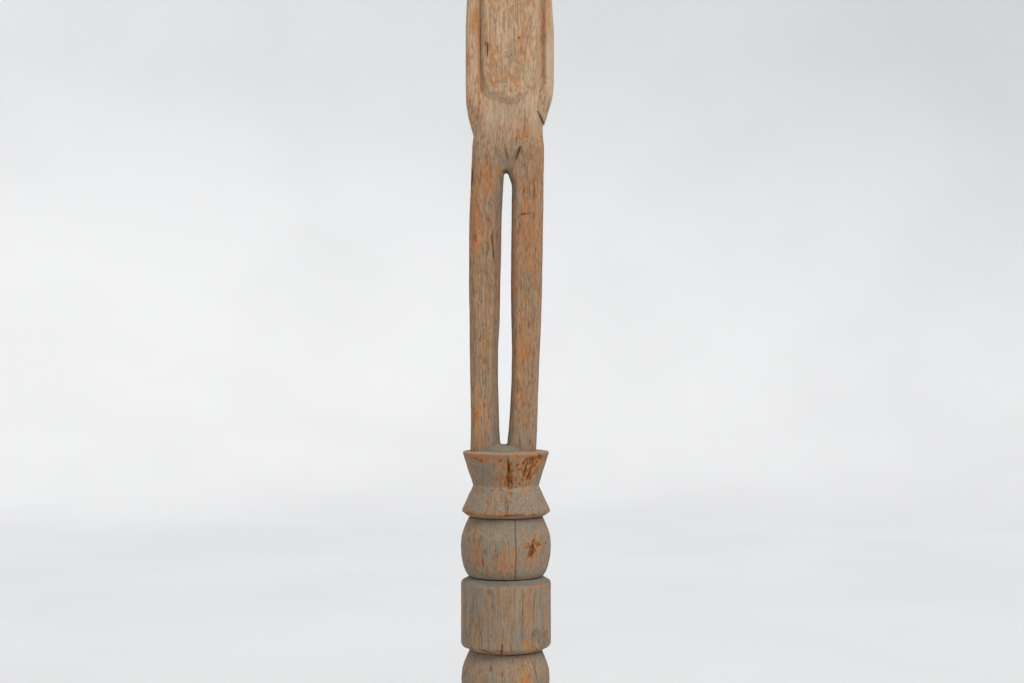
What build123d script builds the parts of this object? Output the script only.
from build123d import *
import os

# A slender ancestor figure in weathered hardwood, standing on a post of stacked carved blocks,
# held upright by a steel floor stand. Millimetres, +Z up. The figure faces -Y, so its own left
# side is on +X. The origin is the middle of the stand's footprint, on the floor.

os.makedirs("parts", exist_ok=True)

# ---------------------------------------------------------------- driving dimensions
# Steel stand
PLATE_SIDE = 260.0
PLATE_THICK = 8.0
PLATE_CORNER_R = 6.0
PLATE_EDGE = 1.0
SCREW_SPACING = 220.0
SCREW_HOLE_R = 3.0
PAD_SPACING = 170.0
PAD_R = 14.0
PAD_THICK = 3.0
COLLAR_R = 30.0
COLLAR_THICK = 4.0
PIN_R = 7.0
PIN_LENGTH = 150.0
PIN_TIP = 2.0
BOLT_R = 4.0
BOLT_HEAD_R = 8.0
BOLT_HEAD_DEPTH = 4.5
BOLT_LENGTH = 30.0
SOCKET_R = 2.9  # corner radius of the bolt's hexagon socket
SOCKET_DEPTH = 2.6

# Clearances
ROUND_FIT = 0.15  # radial, around every dowel, pin, peg and bolt
END_ROOM = 1.0  # left past the end of a dowel in a blind hole
CUT_PAST = 1.0  # how far a cutting solid runs past the face it cuts

# Post
LOG_R = 49.5
FOOT_HEIGHT = 180.0
SPOOL_HEIGHT = 72.0
BALL_HEIGHT = 66.0
DRUM_HEIGHT = 80.0
STACK_DOWEL_R = 10.0
STACK_DOWEL_HALF = 24.0

# Figure: heights are above its soles, and x is off the post's axis
CROTCH = 306.0
WAIST = 378.0
NECK = 622.0
FOOT_X = (-23.4, 17.6)
LEG_DOWEL_R = 5.0
LEG_DOWEL_HALF = 24.0
TRUNK_X = 5.0
HEAD_X = 4.5
WAIST_DOWEL_R = 8.0
WAIST_DOWEL_HALF = 28.0
NECK_DOWEL_R = 6.0
NECK_DOWEL_HALF = 25.0
RIGHT_SEAM_X = -27.5  # flat joints between the arms and the trunk
LEFT_SEAM_X = 38.5
PEG_R = 3.0
PEG_IN_ARM = 6.0
PEG_IN_TRUNK = 12.0
PEG_HEIGHTS = (420.0, 565.0)
FLANK_X = 80.0  # past the outside of either arm
FLANK_TOP = 640.0  # past the top of either arm
FLANK_Y = 60.0  # past the front and back of either arm

# ---------------------------------------------------------------- heights worked out
PLATE_TOP = PAD_THICK + PLATE_THICK
POST_BOTTOM = PLATE_TOP + COLLAR_THICK
PIN_TOP = PLATE_TOP + PIN_LENGTH

# The post's blocks from the floor up: node, shape and height.
BLOCKS = (
    ("foot_post", "foot", FOOT_HEIGHT),
    ("lower_spool", "spool", SPOOL_HEIGHT),
    ("lower_ball", "ball", BALL_HEIGHT),
    ("lower_drum", "drum", DRUM_HEIGHT),
    ("middle_ball", "ball", BALL_HEIGHT),
    ("upper_drum", "drum", DRUM_HEIGHT),
    ("upper_ball", "ball", BALL_HEIGHT),
    ("upper_spool", "spool", SPOOL_HEIGHT),
)
SOLES = POST_BOTTOM + sum(height for _, _, height in BLOCKS)


# ---------------------------------------------------------------- helpers
def rod(x, low, high, radius):
    """An upright cylinder from low to high."""
    return Pos(x, 0, (low + high) / 2) * Cylinder(radius, high - low)


def cross_rod(low, high, z, radius):
    """A cylinder lying along X from low to high."""
    return Pos((low + high) / 2, 0, z) * Rot(0, 90, 0) * Cylinder(radius, high - low)


def dowel(x, z, half, radius):
    """An upright dowel centred on a seam, and the blind hole it needs."""
    low, high = z - half, z + half
    return rod(x, low, high, radius), rod(x, low - END_ROOM, high + END_ROOM, radius + ROUND_FIT)


def peg(low, high, z):
    """A peg across an arm's joint, and the blind hole it needs."""
    hole = cross_rod(low - END_ROOM, high + END_ROOM, z, PEG_R + ROUND_FIT)
    return cross_rod(low, high, z, PEG_R), hole


def turned(outline, low):
    """A solid of revolution about Z from an outline drawn as (radius, height)."""
    return Pos(0, 0, low) * revolve(Plane.XZ * make_face(outline), Axis.Z)


def ovals(sections):
    """A loft through ovals: (height, centre x, centre y, half width, half depth)."""
    return loft([Pos(x, y, SOLES + z) * Ellipse(wide, deep) for z, x, y, wide, deep in sections])


def soft_boxes(sections):
    """A loft through rounded boxes: (height, centre x, centre y, half width, half depth, corner)."""
    return loft(
        [
            Pos(x, y, SOLES + z) * RectangleRounded(2 * wide, 2 * deep, corner)
            for z, x, y, wide, deep, corner in sections
        ]
    )


def write(name, *shapes):
    """One STEP for a node: a lone solid, or a group of separate ones."""
    shape = shapes[0] if len(shapes) == 1 else Compound(list(shapes))
    export_step(shape, f"parts/{name}.step")


# ---------------------------------------------------------------- post blocks
def straight_sided(points, low):
    """A turned block from its (radius, height) outside points, bottom to top."""
    return turned(Polyline((0, 0), *points, (0, points[-1][1]), close=True), low)


def foot(low, height):
    rim = 3.0
    sides = [(LOG_R - rim, 0), (LOG_R, rim), (LOG_R, height - 2 * rim), (LOG_R - 2 * rim, height)]
    return straight_sided(sides, low)


def drum(low, height):
    bottom = [(LOG_R - 6.5, 0), (LOG_R, 5.5)]
    top = [(LOG_R, height - 7.5), (LOG_R - 2.5, height - 4), (41, height)]
    return straight_sided(bottom + top, low)


def spool(low, height):
    sides = [(42.5, 0), (48.5, 5.5), (36.3, 0.465 * height), (46.8, height - 4), (44.5, height)]
    return straight_sided(sides, low)


def ball(low, height):
    curve = Spline((40, 0), (46.2, 0.18 * height), (LOG_R, 0.5 * height), (47, 0.8 * height), (43, height))
    return turned(curve + Polyline((43, height), (0, height), (0, 0), (40, 0)), low)


SHAPES = {"foot": foot, "spool": spool, "ball": ball, "drum": drum}


def stack_post():
    """Every block of the post by node, and the heights of the seams between them."""
    blocks = {}
    seams = []
    low = POST_BOTTOM
    for name, shape, height in BLOCKS:
        blocks[name] = SHAPES[shape](low, height)
        low += height
        seams.append(low)
    blocks["foot_post"] -= rod(0, POST_BOTTOM - CUT_PAST, PIN_TOP + END_ROOM, PIN_R + ROUND_FIT)
    return blocks, seams[:-1]


# ---------------------------------------------------------------- steel stand
def base_plate():
    outline = Pos(0, 0, PAD_THICK) * RectangleRounded(PLATE_SIDE, PLATE_SIDE, PLATE_CORNER_R)
    plate = extrude(outline, PLATE_THICK)
    plate = chamfer(plate.edges().group_by(Axis.Z)[-1], PLATE_EDGE)
    for corner in GridLocations(SCREW_SPACING, SCREW_SPACING, 2, 2):
        plate -= corner * rod(0, 0, PLATE_TOP + CUT_PAST, SCREW_HOLE_R)
    plate -= rod(0, 0, PLATE_TOP + CUT_PAST, BOLT_R + ROUND_FIT)
    return plate - bolt_head(ROUND_FIT)


def bolt_head(room):
    """The cone under a countersunk head, with room around it."""
    middle = PAD_THICK + BOLT_HEAD_DEPTH / 2
    return Pos(0, 0, middle) * Cone(BOLT_HEAD_R + room, BOLT_R + room, BOLT_HEAD_DEPTH)


def base_pads():
    return [corner * rod(0, 0, PAD_THICK, PAD_R) for corner in GridLocations(PAD_SPACING, PAD_SPACING, 2, 2)]


def pin_collar():
    ring = rod(0, PLATE_TOP, POST_BOTTOM, COLLAR_R)
    return ring - rod(0, PLATE_TOP - CUT_PAST, POST_BOTTOM + CUT_PAST, PIN_R + ROUND_FIT)


def stand_pin():
    pin = rod(0, PLATE_TOP, PIN_TOP, PIN_R)
    pin = chamfer(pin.edges().group_by(Axis.Z)[-1], PIN_TIP)
    return pin - rod(0, PLATE_TOP - CUT_PAST, PAD_THICK + BOLT_LENGTH + END_ROOM, BOLT_R + ROUND_FIT)


def pin_bolt():
    bolt = bolt_head(0) + rod(0, PAD_THICK, PAD_THICK + BOLT_LENGTH, BOLT_R)
    return bolt - extrude(Pos(0, 0, PAD_THICK) * RegularPolygon(SOCKET_R, 6), SOCKET_DEPTH)


# ---------------------------------------------------------------- figure
def legs_and_hips():
    """Two straight legs running up into one block of hips."""
    right_leg = ovals(
        [
            (0, FOOT_X[0], 0, 16.2, 20),
            (40, -23.2, 0, 15.0, 18.5),
            (110, -24.2, 0, 15.4, 19),
            (220, -22.8, 0, 17.3, 22),
            (290, -21.0, 0, 18.0, 24),
            (330, -17.0, 0, 19.0, 25),
        ]
    )
    left_leg = ovals(
        [
            (0, FOOT_X[1], 0, 15.4, 20),
            (40, 19.2, 0, 14.9, 18.5),
            (110, 21.7, 0, 15.1, 19),
            (220, 23.0, 0, 17.0, 22),
            (290, 24.0, 0, 17.5, 24),
            (330, 21.0, 0, 19.0, 25),
        ]
    )
    hips = soft_boxes(
        [
            (CROTCH, 1.4, 1, 33, 23, 18),
            (322, 1.7, 2, 38.5, 28, 22),
            (345, 2.0, 3, 38.5, 31, 24),
            (WAIST, 3.5, 1, 39.5, 31, 24),
        ]
    )
    return right_leg + left_leg + hips


def torso():
    """Belly, chest and the root of the neck."""
    return soft_boxes(
        [
            (WAIST, TRUNK_X, 1, 38, 31, 22),
            (396, TRUNK_X, 0, 38, 35, 22),
            (430, TRUNK_X, 0, 38, 36, 22),
            (480, TRUNK_X, 0, 38, 36, 22),
            (530, HEAD_X, 0, 38, 34, 22),
            (570, HEAD_X, 0, 38, 32, 22),
            (592, HEAD_X, 0, 36, 30, 21),
            (606, HEAD_X, 0, 30, 27, 20),
            (NECK, HEAD_X, 0, 19, 20, 18),
        ]
    )


def right_arm():
    """The arm on -X: it hangs close and its hand runs out into the hip."""
    return soft_boxes(
        [
            (340, -29, -3, 8, 12, 5),
            (358, -30.5, -2, 10.5, 20, 6),
            (384, -32, -1.5, 11.2, 25.5, 7),
            (450, -32.5, -1.5, 11.1, 26.5, 7),
            (520, -32, -0.5, 10.8, 25, 7),
            (584, -32, 0, 11, 24, 7),
            (606, -27, 0, 9, 16, 7),
        ]
    )


def left_arm():
    """The arm on +X: its hand ends in a slanting cut above the hip."""
    return soft_boxes(
        [
            (352, 36, -3, 5.5, 11, 4),
            (368, 36, -2, 9.2, 20, 6),
            (394, 41, -1.5, 11, 26, 7),
            (450, 41.4, -1.5, 11, 26.5, 7),
            (510, 39.5, -0.5, 11, 25, 7),
            (584, 38, 0, 11, 24, 7),
            (606, 34, 0, 9, 16, 7),
        ]
    )


def flank(points):
    """Everything on one side inside an outline of (x, height) points, right through front to back."""
    outline = Polyline(*[(x, SOLES + z) for x, z in points], close=True)
    return extrude(Plane.XZ * make_face(outline), FLANK_Y, both=True)


def right_flank():
    inner = [(RIGHT_SEAM_X, FLANK_TOP), (RIGHT_SEAM_X, 396), (-24, 374), (-24, 352), (-37, 345)]
    return flank(inner + [(-FLANK_X, 345), (-FLANK_X, FLANK_TOP)])


def left_flank():
    inner = [(LEFT_SEAM_X, FLANK_TOP), (LEFT_SEAM_X, 400), (34.5, 373), (43, 358)]
    return flank(inner + [(FLANK_X, 358), (FLANK_X, FLANK_TOP)])


def head():
    """Oval head on a short neck, with a plain nose and ears."""
    neck = ovals([(NECK, HEAD_X, 0, 17, 18), (640, HEAD_X, 0, 15.5, 17), (662, HEAD_X, 0, 16, 18)])
    skull = ovals(
        [
            (642, HEAD_X, -6, 10, 14),
            (654, HEAD_X, -3, 19, 25),
            (680, HEAD_X, 0, 26, 31),
            (710, HEAD_X, 1, 28, 33),
            (738, HEAD_X, 1, 25, 29),
            (754, HEAD_X, 1, 17, 20),
            (762, HEAD_X, 1, 7, 9),
        ]
    )
    nose = ovals([(682, HEAD_X, -27, 6.5, 9), (708, HEAD_X, -27, 3, 4)])
    whole = neck + skull + nose
    ear_out = 27
    for x in (HEAD_X - ear_out, HEAD_X + ear_out):
        whole += Pos(x, 2, SOLES + 696) * Rot(0, 90, 0) * Cylinder(11, 5)
    return whole


def carve_figure():
    """Every wooden piece of the figure by node, the arms let into the flanks of the rest."""
    right, left = right_flank(), left_flank()
    return {
        "legs_and_hips": legs_and_hips() - right - left,
        "torso": torso() - right - left,
        "right_arm": right_arm() & right,
        "left_arm": left_arm() & left,
        "head": head(),
    }


# ---------------------------------------------------------------- joinery
def plan_joints(seams):
    """Dowel node, the pieces it is bored into, and its (dowel, hole) pairs."""
    pegs = []
    for height in PEG_HEIGHTS:
        pegs.append(peg(RIGHT_SEAM_X - PEG_IN_ARM, RIGHT_SEAM_X + PEG_IN_TRUNK, SOLES + height))
        pegs.append(peg(LEFT_SEAM_X - PEG_IN_TRUNK, LEFT_SEAM_X + PEG_IN_ARM, SOLES + height))
    waist = dowel(TRUNK_X, SOLES + WAIST, WAIST_DOWEL_HALF, WAIST_DOWEL_R)
    neck = dowel(HEAD_X, SOLES + NECK, NECK_DOWEL_HALF, NECK_DOWEL_R)
    stack = [dowel(0, seam, STACK_DOWEL_HALF, STACK_DOWEL_R) for seam in seams]
    legs = [dowel(x, SOLES, LEG_DOWEL_HALF, LEG_DOWEL_R) for x in FOOT_X]
    return [
        ("stack_dowels", [name for name, _, _ in BLOCKS], stack),
        ("leg_dowels", ["upper_spool", "legs_and_hips"], legs),
        ("waist_dowel", ["legs_and_hips", "torso"], [waist]),
        ("neck_dowel", ["torso", "head"], [neck]),
        ("arm_pegs", ["torso", "right_arm", "left_arm"], pegs),
    ]


def main():
    write("base_plate", base_plate())
    write("base_pads", *base_pads())
    write("pin_collar", pin_collar())
    write("stand_pin", stand_pin())
    write("pin_bolt", pin_bolt())

    blocks, seams = stack_post()
    wood = {**blocks, **carve_figure()}
    for node, bored, pairs in plan_joints(seams):
        write(node, *[solid for solid, _ in pairs])
        for name in bored:
            for _, hole in pairs:
                wood[name] -= hole
    for name, piece in wood.items():
        write(name, piece)


main()
